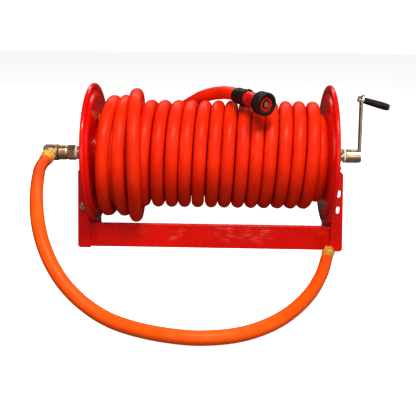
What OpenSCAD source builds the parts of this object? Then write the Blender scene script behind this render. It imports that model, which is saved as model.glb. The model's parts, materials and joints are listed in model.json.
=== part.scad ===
// Manual fire hose reel: a U-shaped floor frame, a cranked drum with its wound hose and nozzle,
// and a lead hose from the swivel inlet to a brass end that lies in front of the frame.
// X runs along the axle, Y is front to back (the front is -Y), Z is up, and Z = 0 is the floor.

/* [Drum] */
// Height of the axle above the floor
axle_h = 183; // [183:1:190]
// Outside radius of the two pressed side discs
disc_r = 140; // [138:1:140]
// Distance between the rims of the two discs
disc_gap = 469; // [468:1:470]
// Outside radius of the drum tube
core_r = 59; // [58:1:60]
// Radius of the axle where it turns in the bearings
axle_r = 10; // [10:1:11]

/* [Fire hose] */
// Outside diameter of the wound fire hose
hose_d = 25.5; // [25:0.5:26]
// Radius of the lower layer's centreline
layer1_r = 72.3; // [72:0.1:73]
// Radius of the upper layer's centreline
layer2_r = 95.7; // [95:0.1:96]

/* [Frame] */
// Distance between the inner faces of the two posts
post_gap = 484; // [484:1:488]
// Depth of a post from front lip to rear lip
post_depth = 124; // [120:1:126]
// Width of a post's lips at the floor
lip_w = 25; // [24:1:28]
// Width of a post's lips at their top
lip_top_w = 17; // [16:1:20]
// Height of a post's lips
lip_h = 166; // [150:1:170]
// Thickness of the folded sheet
sheet = 3; // [2.5:0.5:3]
// Height of the front beam
beam_h = 50; // [46:1:50]

/* [Crank] */
// Length of the crank from the axle to the grip bolt
crank_l = 114; // [100:1:120]
// Length of the grip
grip_l = 50; // [45:1:60]
// Angle by which the arm's end and the grip lean out from the arm
grip_lean = 17.5; // [0:0.5:18]

/* [Nozzle] */
// Radius of the ribbed spray ring
ring_r = 22; // [20:0.5:23]
// Whole length of the nozzle
nozzle_l = 116; // [112:1:118]

/* [Lead hose] */
// Outside diameter of the lead hose
lead_d = 22.5; // [22:0.5:23]

/* [Hidden] */
$fn = 72;

// Colours
RED = [0.78, 0.04, 0.06];
HOSE_RED = [0.85, 0.10, 0.06];
ORANGE = [0.95, 0.30, 0.08];
BRASS = [0.80, 0.60, 0.25];
NICKEL = [0.72, 0.68, 0.62];
ZINC = [0.72, 0.66, 0.35];
STEEL = [0.70, 0.70, 0.70];
BLACK = [0.06, 0.06, 0.06];

// Drum
disc_t = 2; // sheet of the side discs
rim_x = disc_gap / 2; // plane of the rolled rims
curl_r = 4.5; // radius of the rolled rim
disc_in = rim_x - 8; // inner face of the raised middle of a disc
step_r = 120; // where the raised middle steps down to the rim
core_wall = 3;
end_plate = 4;
disc_bolt_r = 42; // circle of the bolts that hold a disc to the core
hub_hole_r = 16;
feed_x = -211; // where the water leaves the axle for the hose

// Frame
web_in = post_gap / 2;
web_out = web_in + sheet;
post_y = post_depth / 2;
bend_r = 4;
arch_r = 60; // round top of a post, about the axle
slot_w = 7;
slot_l = 15;
slot_x = web_in + 11;
slot_low = 87;
slot_high = 120;
foot_x = web_in + 13; // floor bolts
foot_y = 38;
foot_hole_r = 5.5;
beam_y = -post_y + 7; // front face of the beam
beam_foot = 30;
beam_lip = 4;

// Bearings
bush_r = 13;
housing_r = 34;
housing_x = web_out + 12; // outer face of a bearing housing
bearing_bolt_r = 26;
running_gap = 0.05;
bush_end = housing_x + 5;

// Swivel inlet, on the -X side
elbow_x = 327;
elbow_r = 16.5;
elbow_tilt = 8; // how far the outlet points below level
seat_x = 310; // where elbow and collar meet
collar_in = 291;
hex_in = 276;

// Crank, on the +X side
hub_x0 = 271.5;
hub_x1 = 297;
hub_r = 13.7;
arm_t = 4;
arm_w = 18;
arm_lean = -2;
bend_at = crank_l - 5; // where the arm's end leans over

// Nozzle: its tail sits on the hose's end and it lies level, pointing forward and to the right
NOZZLE_AT = [39, -13, axle_h + 125];
NOZZLE_TURN = [94, 0, 34.3];
ring_z = nozzle_l - 24.5;

// Last turn and free end of the fire hose: angle from the top over the front, place along X, radius
HOSE_END = [
    [0, -148, 121], [30, -144, 121], [60, -141, 122], [90, -140, 123], [120, -142, 125],
    [150, -147, 127], [180, -152, 127], [210, -154, 126], [235, -151, 125], [255, -141, 124],
    [270, -126, 123], [285, -106, 123], [300, -81, 123], [315, -53, 123], [330, -24, 123],
    [345, 5, 123], [357, 25, 124], [366, 39, 125.7], [373, 50, 127.2]
];

// Lead hose: straight out of the swivel, down to the floor in one bend, round and back to the frame
LEAD = [
    [-327, -47, 176], [-327, -66, 174], [-324, -95, 172], [-315, -138, 169], [-303, -190, 165],
    [-291, -238, 158], [-280, -277, 146], [-269, -309, 129], [-256, -334, 107], [-240, -353, 83],
    [-220, -368, 59], [-196, -381, 39], [-169, -394, 24], [-141, -407, 15], [-114, -420, 12],
    [-87, -432, 11.3], [-61, -441, 11.3], [-36, -447, 11.3], [-10, -450, 11.3],
    [16, -448, 11.3], [42, -442, 11.3], [68, -430, 11.3], [95, -410, 11.3], [123, -380, 11.3],
    [152, -336, 11.3], [180, -279, 11.3], [202, -218, 11.3], [214, -177, 11.3], [224, -136, 11.3]
];
LEAD_END = [224, -136, 11.3];
lead_end_turn = -14; // heading of the hose's end, turned from +Y; less than 0 leans to +X

// ---- helpers ----

// Places children on the axle, with their own Z along +X
module along_x() {
    translate([0, 0, axle_h])
        rotate([0, 90, 0])
            children();
}

// A rod on the axle
module rod(x0, x1, r) {
    along_x()
        translate([0, 0, x0])
            cylinder(h = x1 - x0, r = r);
}

// A solid turned about the axle from points [radius, x]
module turned(points) {
    along_x()
        rotate_extrude($fn = 96)
            polygon(points);
}

// The right-hand part for s = 1 and its mirror image for s = -1
module side(s) {
    mirror([s < 0 ? 1 : 0, 0, 0])
        children();
}

// A flat outline in Y and Z, extruded along X from x0
module plate_x(x0, t) {
    translate([x0, 0, 0])
        rotate([90, 0, 90])
            linear_extrude(t)
                children();
}

// A rectangle with round corners, centred
module round_rect(w, d, r) {
    square([w - 2 * r, d], center = true);
    square([w, d - 2 * r], center = true);
    for (x = [-1, 1], y = [-1, 1])
        translate([x * (w / 2 - r), y * (d / 2 - r)])
            circle(r);
}

// A hexagonal bolt or nut body with height h along Z
module hex(across, h) {
    cylinder(h = h, r = across / sqrt(3), $fn = 6);
}

// Places children at each of n points on a circle about the axle
module bolt_circle(n, r, start) {
    for (i = [0:n - 1])
        translate([0, 0, axle_h])
            rotate([start + i * 360 / n, 0, 0])
                translate([0, 0, r])
                    rotate([0, 90, 0])
                        children();
}

// A point on a smooth curve through p1 and p2
function blend(p0, p1, p2, p3, t) =
    0.5 * (2 * p1 + (p2 - p0) * t + (2 * p0 - 5 * p1 + 4 * p2 - p3) * t * t
        + (3 * p1 - p0 - 3 * p2 + p3) * t * t * t);

// A route with n steps between each two of its points
function route(P, n) = concat(
    [for (i = [0:len(P) - 2], k = [0:n - 1])
        blend(P[max(i - 1, 0)], P[i], P[i + 1], P[min(i + 2, len(P) - 1)], k / n)],
    [P[len(P) - 1]]);

// A point of the wound hose from [angle, x, radius]
function wound(p) = [p[1], -p[2] * sin(p[0]), axle_h + p[2] * cos(p[0])];

function unit(v) = v / norm(v);

// One ring of m points about c, across the direction t
function loop_at(c, t, up, r, m) =
    let (u = unit(cross(up, t)), v = cross(t, u))
    [for (j = [0:m - 1]) c + r * (cos(360 * j / m) * u + sin(360 * j / m) * v)];

// A round tube of radius r along the points L, with m sides
module tube(L, r, m, up) {
    last = len(L) - 1;
    rings = [for (i = [0:last])
        loop_at(L[i], unit(L[min(i + 1, last)] - L[max(i - 1, 0)]), up, r, m)];
    points = [for (ring = rings) for (p = ring) p];
    walls = [for (i = [0:last - 1], j = [0:m - 1])
        let (a = i * m + j, b = i * m + (j + 1) % m)
        each [[a, a + m, b + m], [a, b + m, b]]];
    first_cap = [[for (j = [0:m - 1]) j]];
    last_cap = [[for (j = [m - 1:-1:0]) last * m + j]];
    polyhedron(points, concat(walls, first_cap, last_cap), convexity = 8);
}

// ---- frame ----

// A post: a folded channel with its web towards the drum, tapered lips, a foot and an arched top
module post(s) {
    bore_r = bush_r + 0.2;
    difference() {
        union() {
            plate_x(web_in, sheet)
                difference() {
                    union() {
                        translate([-post_y, 0])
                            square([post_depth, lip_h]);
                        translate([-arch_r, 0])
                            square([2 * arch_r, axle_h]);
                        translate([0, axle_h])
                            circle(arch_r);
                    }
                    translate([0, axle_h])
                        circle(bore_r);
                }
            for (y = [-post_y, post_y - sheet])
                translate([0, y + sheet, 0])
                    rotate([90, 0, 0])
                        linear_extrude(sheet)
                            difference() {
                                polygon([
                                    [web_in, 0], [web_in + lip_w - bend_r, 0], [web_in + lip_w, bend_r],
                                    [web_in + lip_top_w, lip_h - 6], [web_in + lip_top_w - 6, lip_h],
                                    [web_in, lip_h]
                                ]);
                                for (z = s > 0 ? [slot_low, slot_high] : [slot_low])
                                    translate([slot_x, z])
                                        slot_shape();
                            }
            translate([web_in, -post_y, 0])
                cube([lip_w - bend_r, post_depth, sheet]);
        }
        for (y = [-foot_y, foot_y])
            translate([foot_x, y, -1])
                cylinder(h = sheet + 2, r = foot_hole_r);
        bolt_circle(3, bearing_bolt_r, 60)
            translate([0, 0, web_in - 1])
                cylinder(h = sheet + 2, r = 3.2);
    }
}

// An upright slot with round ends
module slot_shape() {
    square([slot_w, slot_l - slot_w], center = true);
    for (z = [-1, 1])
        translate([0, z * (slot_l - slot_w) / 2])
            circle(slot_w / 2);
}

module left_post() color(RED) side(-1) post(-1);
module right_post() color(RED) side(1) post(1);

// The front beam: one folded sheet with a small top lip and a foot on the floor
module base_beam() {
    color(RED)
        translate([-web_in, 0, 0])
            rotate([90, 0, 90])
                linear_extrude(post_gap)
                    union() {
                        translate([beam_y, 2])
                            square([sheet, beam_h - 4]);
                        translate([beam_y + 2, beam_h - sheet])
                            square([beam_lip, sheet]);
                        translate([beam_y + 2, beam_h - 2])
                            circle(2);
                        translate([beam_y + 2, 2])
                            circle(2);
                        translate([beam_y + 2, 0])
                            square([beam_foot - 2, sheet]);
                    }
}

module rear_tie() {
    color(RED)
        translate([-web_in, post_y - 32, 0])
            cube([post_gap, 30, 4]);
}

// ---- bearings ----

module bearing(s) {
    side(s)
        difference() {
            union() {
                rod(web_out, housing_x - 4, housing_r);
                rod(housing_x - 4, housing_x, housing_r - 2);
                rod(housing_x, housing_x + 1.5, bush_r + 4);
            }
            rod(web_out - 1, housing_x + 3, bush_r);
            bolt_circle(3, bearing_bolt_r, 60)
                translate([0, 0, web_out - 1])
                    cylinder(h = 16, r = 3.2);
        }
}

module left_bearing() color(RED) bearing(-1);
module right_bearing() color(RED) bearing(1);

module bush(s) {
    side(s)
        difference() {
            union() {
                rod(web_in, housing_x + 1.5, bush_r);
                rod(housing_x + 1.5, bush_end, bush_r + 1.2);
            }
            rod(web_in - 1, bush_end + 1, axle_r + running_gap);
        }
}

module left_bush() color(BRASS) bush(-1);
module right_bush() color(BRASS) bush(1);

module bearing_bolts(s) {
    side(s)
        bolt_circle(3, bearing_bolt_r, 60) {
            translate([0, 0, web_in - 2.5])
                cylinder(h = 2.5, r = 6.5);
            translate([0, 0, web_in])
                cylinder(h = 23, r = 3);
            translate([0, 0, housing_x])
                cylinder(h = 1.2, r = 6.5);
            translate([0, 0, housing_x + 1.2])
                hex(10, 5);
        }
}

module left_bearing_bolts() color(ZINC) bearing_bolts(-1);
module right_bearing_bolts() color(ZINC) bearing_bolts(1);

// A bolt kept in the left post's lower slot
module slot_bolt() {
    color(ZINC)
        translate([-slot_x, -post_y, slot_low])
            rotate([90, 0, 0]) {
                cylinder(h = 1.2, r = 6);
                translate([0, 0, 1.2])
                    hex(10, 4);
                translate([0, 0, -16])
                    cylinder(h = 17, r = 3);
                translate([0, 0, -sheet - 5])
                    hex(10, 5);
            }
}

// ---- swivel inlet and lead hose ----

// Places children on the elbow's outlet, with their own Z along the way out
module outlet() {
    translate([-elbow_x, 0, axle_h])
        rotate([90 + elbow_tilt, 0, 0])
            children();
}

module swivel_elbow() {
    color(NICKEL)
        difference() {
            union() {
                turned([[0, -340], [13, -340], [elbow_r, -336.5], [elbow_r, -seat_x - 1.5],
                    [elbow_r - 1.5, -seat_x], [0, -seat_x]]);
                outlet()
                    cylinder(h = 21, r = 13);
                outlet()
                    translate([0, 0, 14])
                        cylinder(h = 7, r = 14.2);
            }
            rod(-334, -seat_x + 1, 8);
            outlet()
                cylinder(h = 30, r = 8);
        }
}

module swivel_collar() {
    color(NICKEL)
        difference() {
            turned([[0, -seat_x], [14, -seat_x], [14.8, -seat_x + 1.5], [14.8, -295], [13.5, -collar_in],
                [0, -collar_in]]);
            rod(-seat_x - 1, -collar_in + 1, 9.05);
            rod(-304, -300, 11.5);
        }
}

module swivel_seal() {
    color(BLACK)
        difference() {
            rod(-303.8, -300.2, 11.4);
            rod(-305, -299, 9.02);
        }
}

module outlet_nut() {
    color(BRASS)
        outlet()
            difference() {
                union() {
                    translate([0, 0, 21])
                        hex(26, 12);
                    translate([0, 0, 33])
                        cylinder(h = 4, r = 11.5);
                }
                translate([0, 0, 20])
                    cylinder(h = 20, r = 6.5);
            }
}

// Crimped brass sleeve between the nut and the lead hose
module lead_ferrule() {
    color(BRASS)
        outlet()
            difference() {
                union() {
                    translate([0, 0, 37])
                        cylinder(h = 10, r = 12.2);
                    translate([0, 0, 39])
                        cylinder(h = 2, r = 12.8);
                    translate([0, 0, 43])
                        cylinder(h = 2, r = 12.8);
                }
                translate([0, 0, 36])
                    cylinder(h = 12, r = 6.5);
            }
}

module lead_hose() {
    color(ORANGE)
        tube(LEAD, lead_d / 2, 10, [0, 0, 1]);
}

// Places children at the lead hose's end, with their own Z along the way out
module lead_end() {
    translate(LEAD_END)
        rotate([-90, 0, lead_end_turn])
            children();
}

module lead_end_tail() {
    color(BRASS)
        lead_end()
            difference() {
                union() {
                    translate([0, 0, 0.3])
                        cylinder(h = 21, r = 11.25);
                    translate([0, 0, 21.3])
                        cylinder(h = 6, r = 9.5);
                }
                translate([0, 0, -1])
                    cylinder(h = 30, r = 6.5);
            }
}

module lead_end_nut() {
    color(BRASS)
        lead_end()
            difference() {
                union() {
                    translate([0, 0, 27.3])
                        cylinder(h = 3, r = 11.25);
                    translate([0, 0, 30.3])
                        hex(22.2, 16);
                }
                translate([0, 0, 27])
                    cylinder(h = 4, r = 7);
                translate([0, 0, 30])
                    cylinder(h = 20, r = 9.3);
            }
}

// ---- drum ----

module drum_core() {
    inner = disc_in - end_plate;
    color(RED)
        difference() {
            union() {
                difference() {
                    rod(-disc_in, disc_in, core_r);
                    rod(-inner, inner, core_r - core_wall);
                }
            }
            for (s = [-1, 1])
                side(s) {
                    rod(inner - 1, disc_in + 1, hub_hole_r);
                    bolt_circle(4, disc_bolt_r, 45)
                        translate([0, 0, inner - 1])
                            cylinder(h = end_plate + 2, r = 4);
                }
            translate([feed_x, 0, axle_h + 20])
                cylinder(h = core_r, r = 10.6);
        }
}

// A pressed disc: raised middle, step, flat edge and rolled rim
module disc(s) {
    side(s)
        difference() {
            union() {
                turned([
                    [0, disc_in], [step_r - 4, disc_in], [step_r, disc_in + 1.5],
                    [step_r + 3, rim_x - 2.5], [step_r + 6, rim_x - 1], [disc_r - curl_r, rim_x - 1],
                    [disc_r - curl_r, rim_x + 1], [step_r + 4, rim_x + 1],
                    [step_r + 1, rim_x - 0.5], [step_r - 2, disc_in + disc_t + 1],
                    [step_r - 5, disc_in + disc_t], [0, disc_in + disc_t]
                ]);
                along_x()
                    translate([0, 0, rim_x])
                        rotate_extrude($fn = 96)
                            translate([disc_r - curl_r, 0])
                                circle(curl_r, $fn = 32);
                rod(disc_in + disc_t, disc_in + disc_t + 4, hub_hole_r + 8);
            }
            rod(disc_in - 1, disc_in + 20, hub_hole_r);
            bolt_circle(4, disc_bolt_r, 45)
                translate([0, 0, disc_in - 1])
                    cylinder(h = 6, r = 4);
        }
}

module left_disc() color(RED) disc(-1);
module right_disc() color(RED) disc(1);

module disc_bolts(s) {
    side(s)
        bolt_circle(4, disc_bolt_r, 45) {
            translate([0, 0, disc_in - 18])
                cylinder(h = 20, r = 3.8);
            translate([0, 0, disc_in - end_plate - 6])
                hex(13, 6);
            translate([0, 0, disc_in + disc_t])
                hex(13, 5.3);
        }
}

module left_disc_bolts() color(ZINC) disc_bolts(-1);
module right_disc_bolts() color(ZINC) disc_bolts(1);

// Hollow brass shaft that carries the left end of the drum and lets the water in
module inlet_spigot() {
    color(BRASS)
        difference() {
            union() {
                rod(-306, -hex_in - 1, 9);
                along_x()
                    translate([0, 0, -collar_in + 0.3])
                        hex(27, collar_in - hex_in - 0.3);
                rod(-hex_in, -226, axle_r);
                rod(-disc_in - disc_t - 4, feed_x + 12, hub_hole_r);
                rod(-disc_in - disc_t - 7, -disc_in - disc_t - 4, hub_hole_r + 6);
            }
            rod(-307, feed_x + 4, 6.5);
            translate([feed_x, 0, axle_h])
                cylinder(h = hub_hole_r + 1, r = 6);
        }
}

// Fitting inside the core that turns the water out to the start of the hose
module feed_elbow() {
    color(BRASS)
        difference() {
            union() {
                translate([feed_x, 0, axle_h + hub_hole_r])
                    cylinder(h = layer1_r - hub_hole_r, r = 10);
                translate([feed_x, 12, axle_h + layer1_r])
                    rotate([90, 0, 0])
                        cylinder(h = 26, r = hose_d / 2 - 0.3);
            }
            translate([feed_x, 0, axle_h + hub_hole_r - 1])
                cylinder(h = layer1_r - hub_hole_r, r = 6);
            translate([feed_x, 8, axle_h + layer1_r])
                rotate([90, 0, 0])
                    cylinder(h = 23, r = 6.5);
        }
}

module axle_stub() {
    color(STEEL) {
        rod(205, disc_in + disc_t + 4, hub_hole_r);
        rod(disc_in + disc_t + 4, disc_in + disc_t + 7, hub_hole_r + 6);
        rod(disc_in + disc_t + 6, hub_x1, axle_r);
    }
}

module left_washer() {
    color("white")
        difference() {
            rod(-hex_in, -hex_in + 5, 13.6);
            rod(-hex_in - 1, -hex_in + 6, axle_r);
        }
}

module right_washer() {
    color("white")
        difference() {
            rod(267, 271.2, 13.6);
            rod(266, 273, axle_r);
        }
}

// ---- crank ----

module crank_hub() {
    color(STEEL)
        difference() {
            turned([[0, hub_x0], [hub_r - 1, hub_x0], [hub_r, hub_x0 + 1], [hub_r, hub_x1], [0, hub_x1]]);
            rod(hub_x0 - 1, hub_x1 + 1, axle_r);
            translate([hub_x0 + 10, 0, axle_h])
                rotate([-90, 0, 0])
                    cylinder(h = hub_r + 1, r = 3);
        }
}

module crank_screw() {
    color(BLACK)
        translate([hub_x0 + 10, axle_r + 0.1, axle_h])
            rotate([-90, 0, 0])
                difference() {
                    cylinder(h = 3.2, r = 3);
                    translate([0, 0, 1.5])
                        cylinder(h = 3, r = 1.6, $fn = 6);
                }
}

// Places children at the foot of the crank arm, leaning with it
module arm_place() {
    translate([hub_x1, 0, axle_h])
        rotate([0, arm_lean, 0])
            children();
}

// Places children at the middle of the arm's bent end, with their own X along the grip
module grip_place() {
    arm_place()
        translate([0, 0, bend_at])
            rotate([0, grip_lean, 0])
                translate([0, 0, crank_l - bend_at])
                    children();
}

module crank_arm() {
    over = crank_l - bend_at + arm_w / 2 + 0.3; // length of the leaning end
    color(STEEL)
        difference() {
            arm_place()
                intersection() {
                    translate([0, 20, 0])
                        rotate([90, 0, 0])
                            linear_extrude(40)
                                polygon([
                                    [0.4, -15], [0.4 + arm_t, -15],
                                    [0.4 + arm_t, bend_at - arm_t * tan(grip_lean / 2)],
                                    [0.4 + over * sin(grip_lean) + arm_t * cos(grip_lean),
                                        bend_at + over * cos(grip_lean) - arm_t * sin(grip_lean)],
                                    [0.4 + over * sin(grip_lean), bend_at + over * cos(grip_lean)],
                                    [0.4, bend_at]
                                ]);
                    plate_x(-20, 60) {
                        circle(hub_r - 0.5);
                        translate([-arm_w / 2, 0])
                            square([arm_w, bend_at + (crank_l - bend_at) * cos(grip_lean)]);
                        translate([0, bend_at + (crank_l - bend_at) * cos(grip_lean)])
                            circle(arm_w / 2);
                    }
                }
            grip_place()
                rotate([0, 90, 0])
                    cylinder(h = 30, r = 4, center = true);
        }
}

module grip_bolt() {
    color(STEEL)
        grip_place()
            rotate([0, 90, 0]) {
                translate([0, 0, -5.6])
                    hex(10, 5.8);
                translate([0, 0, -2])
                    cylinder(h = grip_l + 9, r = 4);
                translate([0, 0, grip_l + 6.6])
                    cylinder(h = 1.8, r = 5.5);
            }
}

module grip_washer() {
    color(STEEL)
        grip_place()
            rotate([0, 90, 0])
                difference() {
                    translate([0, 0, arm_t + 0.7])
                        cylinder(h = 1.3, r = 5.1);
                    cylinder(h = 20, r = 4);
                }
}

module crank_grip() {
    color(BLACK)
        grip_place()
            rotate([0, 90, 0])
                translate([0, 0, 6.2])
                    difference() {
                        rotate_extrude()
                            polygon([[0, 0], [5.2, 0], [5.8, 0.8], [6.3, 10], [6.9, grip_l * 0.6],
                                [7, grip_l - 8], [6.8, grip_l - 3], [6.2, grip_l - 0.8],
                                [5.2, grip_l], [0, grip_l]]);
                        translate([0, 0, -1])
                            cylinder(h = grip_l + 2, r = 4 + running_gap);
                    }
}

// ---- fire hose and nozzle ----

// The outer shape of the two full layers of the wound hose
module hose_coil() {
    outer = layer2_r + hose_d / 2;
    end = disc_in - 0.3;
    color(HOSE_RED)
        turned([
            [core_r + 0.3, -end], [outer - 1, -end], [outer, -end + 1], [outer, end - 12],
            [outer - 12, end], [core_r + 0.3, end]
        ]);
}

// The few turns of a third layer, at the left
module hose_third_layer() {
    outer = layer2_r + hose_d / 2;
    high = outer + 12;
    end = disc_in - 0.3;
    color(HOSE_RED)
        turned([[outer, -end + 1], [high - 4, -end], [high, -end + 4], [high, -164], [outer, -158]]);
}

module hose_end() {
    color(HOSE_RED)
        tube([for (p = route(HOSE_END, 2)) wound(p)], hose_d / 2, 12, [1, 0, 0]);
}

// Places children on the nozzle's own axis, with Z from the hose to the spray ring
module nozzle() {
    translate(NOZZLE_AT)
        rotate(NOZZLE_TURN)
            children();
}

module nozzle_tail() {
    color(BLACK)
        nozzle()
            difference() {
                union() {
                    translate([0, 0, 19.8])
                        cylinder(h = 20, r1 = 14.4, r2 = 15.4);
                    translate([0, 0, 39.8])
                        cylinder(h = 2.2, r = 13.8);
                    translate([0, 0, 42])
                        cylinder(h = 3, r = 15.6);
                }
                translate([0, 0, 19])
                    cylinder(h = 30, r = 8);
            }
}

module nozzle_nut() {
    color(BLACK)
        nozzle()
            difference() {
                union() {
                    translate([0, 0, 45])
                        cylinder(h = 12, r = 16.4);
                    for (i = [0:5])
                        rotate(i * 60)
                            translate([14.5, -3, 46])
                                cube([3, 6, 10]);
                }
                translate([0, 0, 44])
                    cylinder(h = 14, r = 9);
            }
}

module nozzle_body() {
    color(HOSE_RED)
        nozzle()
            difference() {
                rotate_extrude()
                    polygon([
                        [0, 57], [14.4, 57], [14.6, 59], [14.6, 64], [13.6, 67], [13.8, 84],
                        [15, 87], [15, ring_z - 1.5], [12.6, ring_z - 0.5],
                        [12.6, ring_z + 8], [0, ring_z + 8]
                    ]);
                translate([0, 0, 56])
                    cylinder(h = 58, r = 9);
            }
}

module nozzle_stem() {
    color(BRASS)
        nozzle() {
            difference() {
                translate([0, 0, ring_z - 4])
                    cylinder(h = 4, r = 9);
                for (i = [0:3])
                    rotate(i * 90)
                        translate([6, 0, ring_z - 5])
                            cylinder(h = 6, r = 1.8);
            }
            translate([0, 0, ring_z])
                cylinder(h = nozzle_l - ring_z - 7, r = 3);
            translate([0, 0, nozzle_l - 9])
                cylinder(h = 4, r1 = 3.4, r2 = 5.6);
            translate([0, 0, nozzle_l - 5])
                cylinder(h = 3, r = 5.6);
        }
}

module nozzle_ring() {
    color(BLACK)
        nozzle()
            difference() {
                union() {
                    rotate_extrude()
                        polygon([
                            [0, ring_z], [ring_r - 3, ring_z], [ring_r - 1, ring_z + 2],
                            [ring_r - 1, nozzle_l - 6], [ring_r, nozzle_l - 4], [ring_r, nozzle_l - 1.5],
                            [ring_r - 2, nozzle_l], [0, nozzle_l]
                        ]);
                }
                translate([0, 0, ring_z - 1])
                    cylinder(h = 10.5, r = 12.7);
                translate([0, 0, ring_z + 9])
                    cylinder(h = 20, r = 13.2);
            }
}

// Red liner inside the spray ring
module nozzle_face() {
    color(HOSE_RED)
        nozzle()
            difference() {
                translate([0, 0, ring_z + 9.8])
                    cylinder(h = nozzle_l - ring_z - 12.8, r = 13.2);
                translate([0, 0, ring_z + 9])
                    cylinder(h = 7, r1 = 6, r2 = 8.6);
                translate([0, 0, ring_z + 15])
                    cylinder(h = 12, r = 8.6);
            }
}

left_post();
right_post();
base_beam();
rear_tie();
left_bearing();
right_bearing();
left_bush();
right_bush();
left_bearing_bolts();
right_bearing_bolts();
slot_bolt();
swivel_elbow();
swivel_collar();
swivel_seal();
outlet_nut();
lead_ferrule();
lead_hose();
lead_end_tail();
lead_end_nut();
drum_core();
left_disc();
right_disc();
left_disc_bolts();
right_disc_bolts();
inlet_spigot();
feed_elbow();
axle_stub();
left_washer();
right_washer();
crank_hub();
crank_screw();
crank_arm();
grip_bolt();
grip_washer();
crank_grip();
hose_coil();
hose_third_layer();
hose_end();
nozzle_tail();
nozzle_nut();
nozzle_body();
nozzle_stem();
nozzle_ring();
nozzle_face();
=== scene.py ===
"""Fire hose reel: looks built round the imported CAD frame.

Lengths are in millimetres, as in the part's source, and MM or mm() turns them into Blender's metres.
Camera, floor and lights are given in metres.
"""
import json
import math
import bpy
import bmesh
from mathutils import Matrix, Vector


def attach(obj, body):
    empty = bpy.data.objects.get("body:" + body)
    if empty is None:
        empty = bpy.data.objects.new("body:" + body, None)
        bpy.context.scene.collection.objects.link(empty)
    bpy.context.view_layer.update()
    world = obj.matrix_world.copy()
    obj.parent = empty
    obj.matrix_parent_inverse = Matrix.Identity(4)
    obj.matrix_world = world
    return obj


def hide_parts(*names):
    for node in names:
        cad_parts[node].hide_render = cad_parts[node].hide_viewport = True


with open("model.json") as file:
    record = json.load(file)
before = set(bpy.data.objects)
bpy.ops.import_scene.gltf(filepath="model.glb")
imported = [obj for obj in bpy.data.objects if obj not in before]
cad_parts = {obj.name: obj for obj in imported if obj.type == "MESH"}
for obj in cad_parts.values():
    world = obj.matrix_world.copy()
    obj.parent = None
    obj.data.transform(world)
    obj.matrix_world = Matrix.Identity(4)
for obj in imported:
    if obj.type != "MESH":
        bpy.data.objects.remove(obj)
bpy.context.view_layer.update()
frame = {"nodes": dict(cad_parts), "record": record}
nodes = frame["nodes"]
scene = bpy.context.scene
MM = 0.001
AXLE_Z = 183
SIDES = ((-1, "left"), (1, "right"))


def mm(*lengths):
    return tuple(length * MM for length in lengths)


def turn(axis, degrees):
    return Matrix.Rotation(math.radians(degrees), 4, axis)


def at(x, y, z):
    return Matrix.Translation(mm(x, y, z))


# ---------------------------------------------------------------- camera
CAMERA_PLACE = (0.0319, -1.2844, 0.4678)
# Radians: to the left, down, and counter-clockwise as seen from behind the camera
CAMERA_YAW, CAMERA_PITCH, CAMERA_ROLL = 0.0287696, 0.3013071, 0.0068402
CAMERA_LENS = 55.85


def make_camera():
    data = bpy.data.cameras.new("camera")
    data.lens = CAMERA_LENS
    data.sensor_width = 36
    data.clip_start = 0.05
    cam = bpy.data.objects.new("camera", data)
    tilt = Matrix.Rotation(math.pi / 2 - CAMERA_PITCH, 4, "X")
    cam.matrix_world = (Matrix.Translation(CAMERA_PLACE) @ Matrix.Rotation(CAMERA_YAW, 4, "Z")
                        @ tilt @ Matrix.Rotation(CAMERA_ROLL, 4, "Z"))
    scene.collection.objects.link(cam)
    scene.camera = cam


make_camera()


# ---------------------------------------------------------------- materials
MIX_FACTOR, MIX_A, MIX_B = 0, 6, 7  # a colour mix node's input sockets
MIX_RESULT = 2                      # and its output socket


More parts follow.
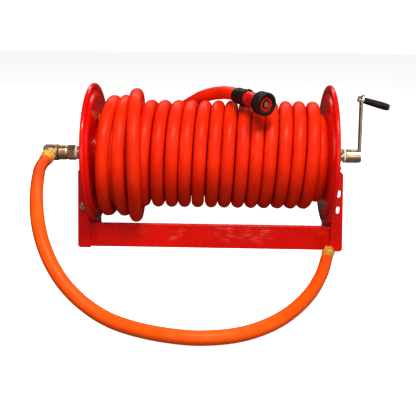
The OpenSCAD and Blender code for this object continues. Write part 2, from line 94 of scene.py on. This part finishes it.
class Nodes:
    """A small helper round one material's node tree."""

    def __init__(self, name):
        self.mat = bpy.data.materials.new(name)
        self.mat.use_nodes = True
        self.tree = self.mat.node_tree
        self.bsdf = next(n for n in self.tree.nodes if n.type == "BSDF_PRINCIPLED")
        self.place = self.tree.nodes.new("ShaderNodeTexCoord").outputs["Object"]

    def link(self, a, b):
        self.tree.links.new(a, b)

    def feed(self, socket, value):
        """Link another node's output to a socket, or set its colour or number."""
        if hasattr(value, "is_linked"):
            self.link(value, socket)
        elif isinstance(value, tuple):
            socket.default_value = (*value, 1)
        else:
            socket.default_value = value

    def noise(self, scale, detail, rough, stretch=None, distortion=0.0):
        node = self.tree.nodes.new("ShaderNodeTexNoise")
        node.inputs["Scale"].default_value = scale
        node.inputs["Detail"].default_value = detail
        node.inputs["Roughness"].default_value = rough
        node.inputs["Distortion"].default_value = distortion
        place = self.place
        if stretch:
            mapping = self.tree.nodes.new("ShaderNodeMapping")
            mapping.inputs["Scale"].default_value = stretch
            self.link(place, mapping.inputs["Vector"])
            place = mapping.outputs["Vector"]
        self.link(place, node.inputs["Vector"])
        return node.outputs["Fac"]

    def distance(self, centre):
        """Distance from a place on the piece, in metres."""
        node = self.tree.nodes.new("ShaderNodeVectorMath")
        node.operation = "DISTANCE"
        self.link(self.place, node.inputs[0])
        node.inputs[1].default_value = centre
        return node.outputs["Value"]

    def ramp(self, source, start, end, low=0.0, high=1.0):
        """A grey that goes from low to high while the source goes from start to end."""
        node = self.tree.nodes.new("ShaderNodeValToRGB")
        for element, position, grey in zip(node.color_ramp.elements, (start, end), (low, high)):
            element.position = position
            element.color = (grey, grey, grey, 1)
        self.link(source, node.inputs["Fac"])
        return node.outputs["Color"]

    def times(self, a, b):
        node = self.tree.nodes.new("ShaderNodeMath")
        node.operation = "MULTIPLY"
        self.feed(node.inputs[0], a)
        self.feed(node.inputs[1], b)
        return node.outputs[0]

    def mix(self, mask, a, b, amount=1):
        """Colour a, covered by colour b where the mask is white, as far as amount allows."""
        node = self.tree.nodes.new("ShaderNodeMix")
        node.data_type = "RGBA"
        self.feed(node.inputs[MIX_FACTOR], mask if amount == 1 else self.times(mask, amount))
        self.feed(node.inputs[MIX_A], a)
        self.feed(node.inputs[MIX_B], b)
        return node.outputs[MIX_RESULT]

    def bump(self, height, strength, distance, under=None):
        node = self.tree.nodes.new("ShaderNodeBump")
        node.inputs["Strength"].default_value = strength
        node.inputs["Distance"].default_value = distance
        self.link(height, node.inputs["Height"])
        if under is not None:
            self.link(under, node.inputs["Normal"])
        return node.outputs["Normal"]

    def set(self, **values):
        for key, value in values.items():
            self.feed(self.bsdf.inputs[key.replace("_", " ")], value)


def paint(name, colour, deep, chip, wear_and_sheen=()):
    """Glossy sprayed paint: slight orange peel, streaky sheen, scuffs and small chips to dark steel.
    The last argument lists (centre, reach) of pale patches, partly rubbed wear and partly painted
    reflection."""
    n = Nodes(name)
    cloud = n.noise(9, 5, 0.6)
    base = n.mix(n.ramp(cloud, 0.3, 0.75), colour, deep)
    scuff = n.ramp(n.noise(60, 8, 0.75, (1, 1, 0.25)), 0.60, 0.70)
    base = n.mix(scuff, base, (0.90, 0.14, 0.09), 0.16)
    chips = n.ramp(n.noise(150, 3, 0.5), 0.735, 0.75)
    base = n.mix(chips, base, chip, 0.8)
    # pale patches, partly rubbed wear and partly painted reflection, fading out from each centre
    for centre, reach in wear_and_sheen:
        near = n.ramp(n.times(n.distance(mm(*centre)), 1 / (reach * MM)), 0.25, 1.0, 1.0, 0.0)
        rub_and_sheen = n.ramp(n.noise(95, 9, 0.8, (0.45, 1, 1.3)), 0.50, 0.62)
        base = n.mix(n.times(near, rub_and_sheen), base, (0.94, 0.42, 0.32), 0.42)
    rough = n.ramp(n.noise(24, 6, 0.7, (1, 1, 0.4)), 0.3, 0.7, 0.16, 0.36)
    rough = n.mix(scuff, rough, (0.6, 0.6, 0.6), 0.5)
    peel = n.bump(n.noise(420, 2, 0.5), 0.10, 0.0006)
    n.set(Base_Color=base, Roughness=rough, Normal=n.bump(cloud, 0.12, 0.004, peel))
    n.set(Specular_IOR_Level=0.25, Coat_Weight=0.18, Coat_Roughness=0.07)
    return n.mat


def hose_rubber(name, colour, deep, scuffed):
    """Extruded rubber: fine grain and slight waves, paler scuffs, dark dirt and dull patches."""
    n = Nodes(name)
    base = n.mix(n.ramp(n.noise(14, 5, 0.6), 0.3, 0.72), colour, deep)
    marks = n.ramp(n.noise(45, 9, 0.78, distortion=0.6), 0.57, 0.72)
    base = n.mix(marks, base, scuffed, 0.30)
    dirt = n.ramp(n.noise(130, 6, 0.7), 0.66, 0.74)
    base = n.mix(dirt, base, (0.16, 0.03, 0.02), 0.35)
    rough = n.ramp(n.noise(30, 6, 0.7), 0.3, 0.7, 0.30, 0.50)
    rough = n.mix(marks, rough, (0.72, 0.72, 0.72), 0.6)
    grain = n.bump(n.noise(700, 3, 0.6), 0.16, 0.0004)
    n.set(Base_Color=base, Roughness=rough, Normal=n.bump(n.noise(70, 4, 0.6), 0.14, 0.0012, grain))
    n.set(Specular_IOR_Level=0.16)
    return n.mat


def metal(name, colour, dull, rough, grain=(1, 1, 1), metallic=1.0):
    """Machined or plated metal: tool marks drawn out along the axes where grain is small, clouds of
    tarnish and darker stains."""
    n = Nodes(name)
    base = n.mix(n.ramp(n.noise(55, 5, 0.65), 0.35, 0.7), colour, dull)
    tool = n.noise(520, 3, 0.6, grain)
    stain = n.ramp(n.noise(170, 6, 0.7), 0.62, 0.75)
    base = n.mix(stain, base, tuple(c * 0.35 for c in dull), 0.45)
    shine = n.ramp(tool, 0.3, 0.7, rough * 0.75, rough * 1.5)
    shine = n.mix(stain, shine, (0.6, 0.6, 0.6), 0.6)
    n.set(Base_Color=base, Metallic=metallic, Roughness=shine)
    n.set(Normal=n.bump(tool, 0.10, 0.0004, n.bump(n.noise(230, 4, 0.6), 0.05, 0.0008)))
    return n.mat


def plastic(name, colour, grey, rough):
    """Moulded plastic or rubber: fine spark texture, uneven shine and dust."""
    n = Nodes(name)
    base = n.mix(n.ramp(n.noise(60, 6, 0.7), 0.4, 0.72), colour, grey)
    dust = n.ramp(n.noise(210, 6, 0.7), 0.62, 0.78)
    base = n.mix(dust, base, (0.22, 0.16, 0.12), 0.12)
    shine = n.ramp(n.noise(90, 5, 0.65), 0.3, 0.7, rough * 0.7, rough * 1.35)
    n.set(Base_Color=base, Roughness=shine, Normal=n.bump(n.noise(900, 2, 0.5), 0.2, 0.0004))
    n.set(Specular_IOR_Level=0.25)
    return n.mat


RED_PAINT = ((0.88, 0.012, 0.003), (0.68, 0.004, 0.002), (0.12, 0.02, 0.012))  # colour, deep colour, chips
FIRE_RED = ((0.90, 0.042, 0.003), (0.72, 0.018, 0.002), (0.95, 0.13, 0.05))  # colour, deep colour, scuffs
LEAD_ORANGE = ((0.96, 0.135, 0.006), (0.90, 0.095, 0.005), (0.96, 0.26, 0.07))
MATS = {
    "red_paint": paint("red_paint", *RED_PAINT),
    "fire_hose": hose_rubber("fire_hose", *FIRE_RED),
    "lead_rubber": hose_rubber("lead_rubber", *LEAD_ORANGE),
    "brass": metal("brass", (0.98, 0.68, 0.14), (0.84, 0.50, 0.09), 0.38, metallic=0.55),
    "nickel": metal("nickel", (0.74, 0.57, 0.38), (0.50, 0.37, 0.23), 0.32, (1, 0.05, 0.05)),
    "zinc": metal("zinc", (0.66, 0.52, 0.24), (0.48, 0.38, 0.20), 0.36),
    "steel": metal("steel", (0.70, 0.63, 0.52), (0.48, 0.42, 0.34), 0.28, (1, 1, 0.05)),
    "washer": plastic("washer", (0.82, 0.80, 0.74), (0.66, 0.64, 0.58), 0.5),
    "black_rubber": plastic("black_rubber", (0.012, 0.012, 0.012), (0.03, 0.03, 0.03), 0.6),
    "black_plastic": plastic("black_plastic", (0.012, 0.008, 0.006), (0.030, 0.020, 0.014), 0.42),
    "red_plastic": plastic("red_plastic", (0.62, 0.012, 0.012), (0.46, 0.010, 0.010), 0.26),
    "black_steel": metal("black_steel", (0.06, 0.06, 0.06), (0.03, 0.03, 0.03), 0.4),
}

# Pale patches on the beam's front face, partly rubbed wear and partly painted reflection, as (centre,
# reach)
BEAM_WEAR_AND_SHEEN = [((-75, -55, 26), 14), ((-56, -55, 33), 12), ((35, -55, 38), 30),
             ((85, -55, 36), 34), ((120, -55, 34), 20), ((-135, -55, 38), 13)]
beam_paint = paint("beam_paint", *RED_PAINT, BEAM_WEAR_AND_SHEEN)

for entry in frame["record"]["subparts"]:
    node = nodes[entry["node"]]
    node.data.materials.clear()
    node.data.materials.append(beam_paint if entry["node"] == "base_beam" else MATS[entry["material_slot"]])

# Soft edges on the folded, pressed and machined pieces, by the bevel's width
SOFT_EDGES = {
    0.25: ("grip_washer",),
    0.3: ("nozzle_stem",),
    0.35: ("slot_bolt", "left_bearing_bolts", "right_bearing_bolts", "grip_bolt"),
    0.4: ("left_disc_bolts", "right_disc_bolts", "lead_end_tail", "lead_ferrule", "inlet_spigot",
          "nozzle_tail", "left_washer", "right_washer", "swivel_collar"),
    0.5: ("outlet_nut", "lead_end_nut", "crank_hub", "nozzle_nut", "swivel_elbow"),
    0.6: ("rear_tie",),
    0.7: ("left_post", "right_post", "crank_arm"),
    0.8: ("base_beam", "left_bearing", "right_bearing"),
}
for width, names in SOFT_EDGES.items():
    for name in names:
        edge = nodes[name].modifiers.new("edge", "BEVEL")
        edge.width = width * MM
        edge.segments = 2
        edge.limit_method = "ANGLE"
        edge.angle_limit = math.radians(38)


# ---------------------------------------------------------------- helpers for pieces
def piece(name, data, material, body, matrix=None):
    """Put one visual piece in the scene, on the body that carries it."""
    obj = bpy.data.objects.new(name, data)
    scene.collection.objects.link(obj)
    if matrix is not None:
        obj.matrix_world = matrix
    obj.data.materials.append(MATS[material])
    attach(obj, body)
    return obj


def tube(name, points, radius, material, body, bevel, closed=False, swell=None):
    """A round bar of some radius (mm) along points (metres); swell(i) scales the radius at point i."""
    data = bpy.data.curves.new(name, "CURVE")
    data.dimensions = "3D"
    data.bevel_depth = radius * MM
    data.bevel_resolution = bevel
    data.use_fill_caps = True
    spline = data.splines.new("POLY")
    spline.points.add(len(points) - 1)
    for i, (point, place) in enumerate(zip(spline.points, points)):
        point.co = (*place, 1)
        point.radius = swell(i) if swell else 1
    spline.use_cyclic_u = closed
    spline.use_smooth = True
    return piece(name, data, material, body)


def solid(name, build, material, body, matrix, smooth=40):
    """A mesh from build(bmesh), shaded smooth below `smooth` degrees."""
    bm = bmesh.new()
    build(bm)
    bmesh.ops.recalc_face_normals(bm, faces=bm.faces)
    limit = math.radians(smooth)
    for f in bm.faces:
        f.smooth = True
    for e in bm.edges:
        if len(e.link_faces) == 2 and e.calc_face_angle(0) > limit:
            e.smooth = False
    data = bpy.data.meshes.new(name)
    bm.to_mesh(data)
    bm.free()
    return piece(name, data, material, body, matrix)


def lathe(bm, profile, seg=64, shape=None):
    """Closed ring turned about +Z from [radius, z] points; shape(angle, r, z) may change the radius."""
    rings = []
    for i in range(seg):
        a = 2 * math.pi * i / seg
        ring = []
        for r, z in profile:
            rr = shape(a, r, z) if shape else r
            ring.append(bm.verts.new(mm(rr * math.cos(a), rr * math.sin(a), z)))
        rings.append(ring)
    m = len(profile)
    for i in range(seg):
        a, b = rings[i], rings[(i + 1) % seg]
        for j in range(m):
            bm.faces.new((a[j], b[j], b[(j + 1) % m], a[(j + 1) % m]))


def raised_rings(places, radius, height, width, slope):
    """Builds low rings with sloping sides round +Z, one from each z place."""
    def build(bm):
        for z in places:
            lathe(bm, [(radius, z), (radius + height, z + slope),
                       (radius + height, z + width - slope), (radius, z + width)])
    return build


def ribs(count, size, place, softness, segments):
    """Builds equal bars with soft edges, spaced evenly round +Z."""
    def build(bm):
        for i in range(count):
            verts = bmesh.ops.create_cube(bm, size=1.0)["verts"]
            bmesh.ops.scale(bm, vec=Vector(size) * MM, verts=verts)
            bmesh.ops.transform(bm, matrix=turn("Z", 360 / count * i) @ place, verts=verts)
        bmesh.ops.bevel(bm, geom=bm.edges[:], offset=softness * MM, segments=segments, affect="EDGES")
    return build


def thread(radius, z0, z1, pitch, depth, inner=False):
    """Builds a helical ridge with a three-sided section, on a cylinder or in a bore."""
    def build(bm):
        turns = (z1 - z0) / pitch
        steps = int(turns * 28)
        side = -1 if inner else 1
        prev = None
        for i in range(steps + 1):
            a = 2 * math.pi * turns * i / steps
            z = z0 + (z1 - z0) * i / steps
            row = []
            for out, along in ((0, -0.42), (depth, 0), (0, 0.42)):
                r = radius + side * out
                row.append(bm.verts.new(mm(r * math.cos(a), r * math.sin(a), z + along * pitch)))
            if prev:
                for j in range(3):
                    bm.faces.new((prev[j], row[j], row[(j + 1) % 3], prev[(j + 1) % 3]))
            else:
                bm.faces.new(row)
            prev = row
        bm.faces.new(prev[::-1])
    return build


# ---------------------------------------------------------------- the wound fire hose
HOSE_R = 12.75
STEPS_A_TURN = 36
# The lower layer winds from the left disc to the right one
LOWER_R, LOWER_X, LOWER_PITCH, LOWER_TURNS = 72.3, -211, 26.5, 16
# The upper layer winds back, and starts one turn later
UPPER_R, UPPER_X, UPPER_PITCH, UPPER_TURNS = 95.7, 200.7, 26.7, 12
UPPER_START = LOWER_TURNS + 1
# Rows are [turns from the top over the front, x, radius]; here the hose climbs along the right disc
CLIMB = [[16.3, 213.2, 76], [16.6, 211.5, 86], [UPPER_START, UPPER_X, UPPER_R]]
# At the left the turns part, cross and climb to a third layer
CROSSING = [[29.5, -136, 95.7], [30, -147, 95.7], [30.25, -149, 95.7], [30.5, -154, 95.7],
            [30.75, -168, 93], [31, -183, 84], [31.25, -189, 91], [31.5, -195, 95.7],
            [31.75, -199, 98], [32, -194, 104.5], [32.25, -203, 109], [32.5, -207, 116],
            [32.75, -190, 114], [33, -171, 104.5], [33.25, -172, 110], [33.5, -173, 116],
            [33.75, -161, 117]]
# The last turn and the free end, given as [degrees, x, radius]
LAST_TURN = 34
LAST_LOOP = [[0, -148, 118.5], [30, -144, 120], [60, -141, 122], [90, -140, 123], [120, -142, 125],
             [150, -147, 127], [180, -152, 127], [210, -154, 126], [235, -151, 125], [255, -141, 124],
             [270, -126, 123], [285, -106, 123], [300, -81, 123], [315, -53, 123], [330, -24, 123],
             [345, 5, 123], [357, 25, 124], [366, 39, 125.7], [373, 50, 127.2]]
NOZZLE_JOIN = (50.2, -29.2, 306.7)  # where the hose meets the nozzle's tail


def between(p0, p1, p2, p3, j, t):
    """Smooth value j between rows p1 and p2, as the rows' first numbers aren't evenly spaced."""
    h = p2[0] - p1[0]
    m1 = (p2[j] - p0[j]) / (p2[0] - p0[0]) * h
    m2 = (p3[j] - p1[j]) / (p3[0] - p1[0]) * h
    a = 2 * t ** 3 - 3 * t ** 2 + 1
    return a * p1[j] + (t ** 3 - 2 * t ** 2 + t) * m1 + (1 - a) * p2[j] + (t ** 3 - t ** 2) * m2


def on_drum(turns, x, radius):
    """A place round the axle, in metres."""
    a = 2 * math.pi * turns
    return mm(x, -radius * math.sin(a), AXLE_Z + radius * math.cos(a))


def wound_hose():
    rows = [[i / 4, LOWER_X + LOWER_PITCH * i / 4, LOWER_R] for i in range(LOWER_TURNS * 4 + 1)]
    rows += CLIMB
    rows += [[UPPER_START + k / 4, UPPER_X - UPPER_PITCH * k / 4, UPPER_R]
             for k in range(1, UPPER_TURNS * 4 + 1)]
    rows += CROSSING
    rows += [[LAST_TURN + degrees / 360, x, r] for degrees, x, r in LAST_LOOP]
    points = []
    for i in range(len(rows) - 1):
        around = rows[max(i - 1, 0)], rows[i], rows[i + 1], rows[min(i + 2, len(rows) - 1)]
        start, span = rows[i][0], rows[i + 1][0] - rows[i][0]
        steps = max(1, round(span * STEPS_A_TURN))
        for k in range(steps):
            t = k / steps
            turns = start + span * t
            a = 2 * math.pi * turns
            # a wound hose is never quite even
            waver = 0.35 * math.sin(a * 0.37 + 1.0) + 0.25 * math.sin(a * 1.13)
            points.append(on_drum(turns, between(*around, 1, t) + waver, between(*around, 2, t)))
    points[0] = on_drum(*rows[0])
    points.append(mm(*NOZZLE_JOIN))
    return points


hose_points = wound_hose()
fire_hose = tube("fire_hose", hose_points, HOSE_R, "fire_hose", "drum", 6)
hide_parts("hose_coil", "hose_third_layer", "hose_end")


# ---------------------------------------------------------------- the lead hose on the floor
LEAD_R = 11.25
LEAD_END_TURN = -14
# The route, listed from the swivel's outlet to the brass end
LEAD = [(-327, -46.5, 176.4), (-327, -66, 173.8), (-324, -95, 172), (-315, -138, 169), (-303, -190, 165),
        (-291, -238, 158), (-280, -277, 146), (-269, -309, 129), (-256, -334, 107), (-240, -353, 83),
        (-220, -368, 59), (-196, -381, 39), (-169, -394, 24), (-141, -407, 15), (-114, -420, 12),
        (-87, -432, 11.3), (-61, -441, 11.3), (-36, -447, 11.3), (-10, -450, 11.3), (16, -448, 11.3),
        (42, -442, 11.3), (68, -430, 11.3), (95, -410, 11.3), (123, -380, 11.3), (152, -336, 11.3),
        (180, -279, 11.3), (202, -218, 11.3), (214, -177, 11.3), (224, -136, 11.3)]


def smooth_route(rows, per):
    """Points in metres on a smooth curve through the rows, with `per` steps from one to the next."""
    out = []
    last = len(rows) - 1
    for i in range(last):
        around = rows[max(i - 1, 0)], rows[i], rows[i + 1], rows[min(i + 2, last)]
        for k in range(per):
            t = k / per
            out.append(mm(*(0.5 * (2 * b + (c - a) * t + (2 * a - 5 * b + 4 * c - d) * t * t
                                   + (3 * b - a - 3 * c + d) * t ** 3) for a, b, c, d in zip(*around))))
    out.append(mm(*rows[-1]))
    return out


lead_points = smooth_route(LEAD, 6)
lead_hose = tube("lead_line", lead_points, LEAD_R, "lead_rubber", "frame", 8)
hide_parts("lead_hose")
LEAD_TIP = at(*LEAD[-1]) @ turn("Z", LEAD_END_TURN) @ turn("X", -90)  # its axis is +Z, out of the end


# ---------------------------------------------------------------- nozzle
NOZZLE = at(39, -13, 308) @ turn("Z", 34.3) @ turn("X", 94)  # its axis is +Z, out of the spray end
KNURLS = 30
KNURL_FROM, KNURL_TO, KNURL_MIN_R = 94, 115.5, 20.5


def ring_knurl(a, r, z):
    """Grip ribs on the spray ring's outer side, as a change to its radius."""
    wave = max(-0.35, min(1.0, 1.6 * math.cos(KNURLS * a)))
    return r + (0.65 * wave if r > KNURL_MIN_R and KNURL_FROM < z < KNURL_TO else 0)


def spray_ring(bm):
    lathe(bm, [(12.75, 91.5), (18.6, 91.5), (20.6, 93.6), (20.8, 95), (20.8, 102), (20.3, 103), (20.8, 104),
               (20.8, 110), (21.2, 112), (21.4, 114.2), (20.0, 115.8), (17.6, 116.0), (15.6, 114.6),
               (13.6, 113.6), (13.25, 112.8), (13.25, 101), (12.75, 100.6)], KNURLS * 8, ring_knurl)


ring = solid("spray_ring_skin", spray_ring, "black_plastic", "spray_ring", NOZZLE, 30)
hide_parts("nozzle_ring")
solid("ring_teeth", ribs(24, (4.4, 1.5, 1.8), at(16.6, 0, 114.9) @ turn("Y", 14), 0.3, 1),
      "black_plastic", "spray_ring", NOZZLE)
solid("coupling_ribs", ribs(20, (1.7, 1.7, 14), at(14.6, 0, 31), 0.3, 2), "black_plastic", "drum", NOZZLE)
solid("body_flutes", ribs(9, (1.4, 3.0, 13), at(13.7, 0, 75.5), 0.4, 2), "red_plastic", "drum", NOZZLE)


# ---------------------------------------------------------------- crank grip
ARM_X, ARM_LEAN, GRIP_UP, GRIP_LEAN, GRIP_OUT = 297, -2, 109, 17.5, 5
ARM = at(ARM_X, 0, AXLE_Z) @ turn("Y", ARM_LEAN)
GRIP = ARM @ at(0, 0, GRIP_UP) @ turn("Y", GRIP_LEAN) @ at(0, 0, GRIP_OUT)


def grip_skin(bm):
    """A smooth barrel, thickest towards its outer end, with two fine grooves."""
    lathe(bm, [(4.1, 6.3), (5.2, 6.3), (5.7, 6.7), (5.85, 7.5), (6.05, 11), (6.35, 17), (6.65, 26),
               (6.85, 34), (6.95, 41), (6.95, 46.5), (6.6, 47.0), (6.6, 47.6), (6.93, 48.1), (6.9, 50),
               (6.55, 50.5), (6.55, 51.1), (6.85, 51.6), (6.75, 53.6), (6.4, 55.1), (5.8, 55.9),
               (5.1, 56.1), (4.1, 56.1)])


grip = solid("grip_skin", grip_skin, "black_plastic", "grip", GRIP @ turn("Y", 90), 50)
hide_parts("crank_grip")


# ---------------------------------------------------------------- welds on the frame
def weld(name, a, b, radius, seed):
    """A bead of weld from a to b, with its ripples."""
    a, b = Vector(mm(*a)), Vector(mm(*b))
    steps = max(6, int((b - a).length / MM / 1.1))

    def ripple(i):
        return 0.86 + 0.14 * math.sin(i * 2.3 + seed) + 0.06 * math.sin(i * 0.7 + seed)

    points = [a + (b - a) * (i / steps) for i in range(steps + 1)]
    tube(name, points, radius, "red_paint", "frame", 3, swell=ripple)


for side, tag in SIDES:
    weld(f"weld_{tag}_front", (side * 241.6, -55.6, 2), (side * 241.6, -55.6, 48), 1.6, side)
    weld(f"weld_{tag}_foot", (side * 241.4, -50, 3.4), (side * 241.4, -27, 3.4), 1.5, 2 + side)
    weld(f"weld_{tag}_tie", (side * 241.4, 31, 4.4), (side * 241.4, 59, 4.4), 1.5, 4 + side)


# ---------------------------------------------------------------- beads, threads and turned rings
BEAD_R, BEAD_X, BEAD_POINTS = 78, 227.9, 96
BOLT_CIRCLE_R, BOLT_ANGLES = 26, (60, 180, 300)


def bead_circle(x):
    """Points round a disc's outer face, where its ring bead is pressed."""
    angles = [2 * math.pi * i / BEAD_POINTS for i in range(BEAD_POINTS)]
    return [mm(x, BEAD_R * math.cos(a), AXLE_Z + BEAD_R * math.sin(a)) for a in angles]


for side, tag in SIDES:
    tube(f"bead_{tag}", bead_circle(side * BEAD_X), 1.9, "red_paint", "drum", 4, closed=True)
solid("end_nut_thread", thread(9.3, 32.5, 45.0, 1.8, 0.8, inner=True), "brass", "frame", LEAD_TIP, 80)
for side, tag in SIDES:
    for i, angle in enumerate(BOLT_ANGLES):
        bolt = at(0, 0, AXLE_Z) @ turn("X", angle) @ at(0, 0, BOLT_CIRCLE_R) @ turn("Y", 90 * side)
        solid(f"bolt_thread_{tag}_{i}", thread(2.98, 262.6, 264.8, 0.9, 0.35), "zinc", "frame", bolt, 80)

ALONG_X = at(0, 0, AXLE_Z) @ turn("Y", 90)
solid("collar_rings", raised_rings((-299.7, -303.2, -306.7), 14.5, 0.55, 1.7, 0.5),
      "nickel", "frame", ALONG_X, 60)
solid("hub_rings", raised_rings((275.5, 293.5), 13.5, 0.45, 1.8, 0.4), "nickel", "drum", ALONG_X, 60)


# ---------------------------------------------------------------- floor, light
FLOOR_REACH = 6.0


def floor():
    """Pale to the camera, but dark to everything else, so that it throws little light back up."""
    s = FLOOR_REACH
    data = bpy.data.meshes.new("floor")
    data.from_pydata([(-s, -s, 0), (s, -s, 0), (s, s, 0), (-s, s, 0)], [], [(0, 1, 2, 3)])
    obj = bpy.data.objects.new("floor", data)
    scene.collection.objects.link(obj)
    n = Nodes("floor_pale")
    n.set(Roughness=0.9, Emission_Strength=0.8)
    to_camera = n.tree.nodes.new("ShaderNodeLightPath").outputs["Is Camera Ray"]
    n.set(Base_Color=n.mix(to_camera, (0.15, 0.15, 0.15), (0.85, 0.85, 0.85)))
    n.set(Emission_Color=n.mix(to_camera, (0.0, 0.0, 0.0), (1.0, 1.0, 1.0)))
    data.materials.append(n.mat)


floor()


def area(name, place, target, size, power, colour=(1, 1, 1)):
    data = bpy.data.lights.new(name, "AREA")
    data.shape = "RECTANGLE"
    data.size, data.size_y = size
    data.energy = power
    data.color = colour
    obj = bpy.data.objects.new(name, data)
    obj.location = place
    obj.rotation_euler = (Vector(target) - Vector(place)).to_track_quat("-Z", "Y").to_euler()
    scene.collection.objects.link(obj)


area("key", (0.2, -0.95, 1.7), (0, 0, 0.15), (1.2, 0.45), 35, (1, 0.97, 0.93))
area("left", (-1.7, -0.9, 0.9), (0, 0, 0.15), (0.7, 1.0), 4.5)
area("right", (1.8, -0.6, 0.8), (0, 0, 0.15), (0.6, 1.0), 4.5)
area("front", (0.3, -1.7, 0.55), (0, 0, 0.12), (1.5, 0.7), 8.5)
area("back", (0, 1.5, 1.5), (0, 0, 0.2), (1.8, 0.6), 10)


def white_world():
    """White where the camera sees it, and only a soft warm fill as light."""
    world = bpy.data.worlds.new("world")
    world.use_nodes = True
    tree = world.node_tree
    out = next(n for n in tree.nodes if n.type == "OUTPUT_WORLD")
    seen = tree.nodes["Background"]
    seen.inputs["Color"].default_value = (1, 1, 1, 1)
    seen.inputs["Strength"].default_value = 1.0
    fill = tree.nodes.new("ShaderNodeBackground")
    fill.inputs["Color"].default_value = (1, 0.97, 0.95, 1)
    fill.inputs["Strength"].default_value = 0.06
    path = tree.nodes.new("ShaderNodeLightPath")
    mix = tree.nodes.new("ShaderNodeMixShader")
    tree.links.new(path.outputs["Is Camera Ray"], mix.inputs["Fac"])
    tree.links.new(fill.outputs["Background"], mix.inputs[1])
    tree.links.new(seen.outputs["Background"], mix.inputs[2])
    tree.links.new(mix.outputs["Shader"], out.inputs["Surface"])
    scene.world = world


white_world()
scene.view_settings.view_transform = "Standard"
scene.view_settings.gamma = 0.86
scene.view_settings.exposure = 0.12
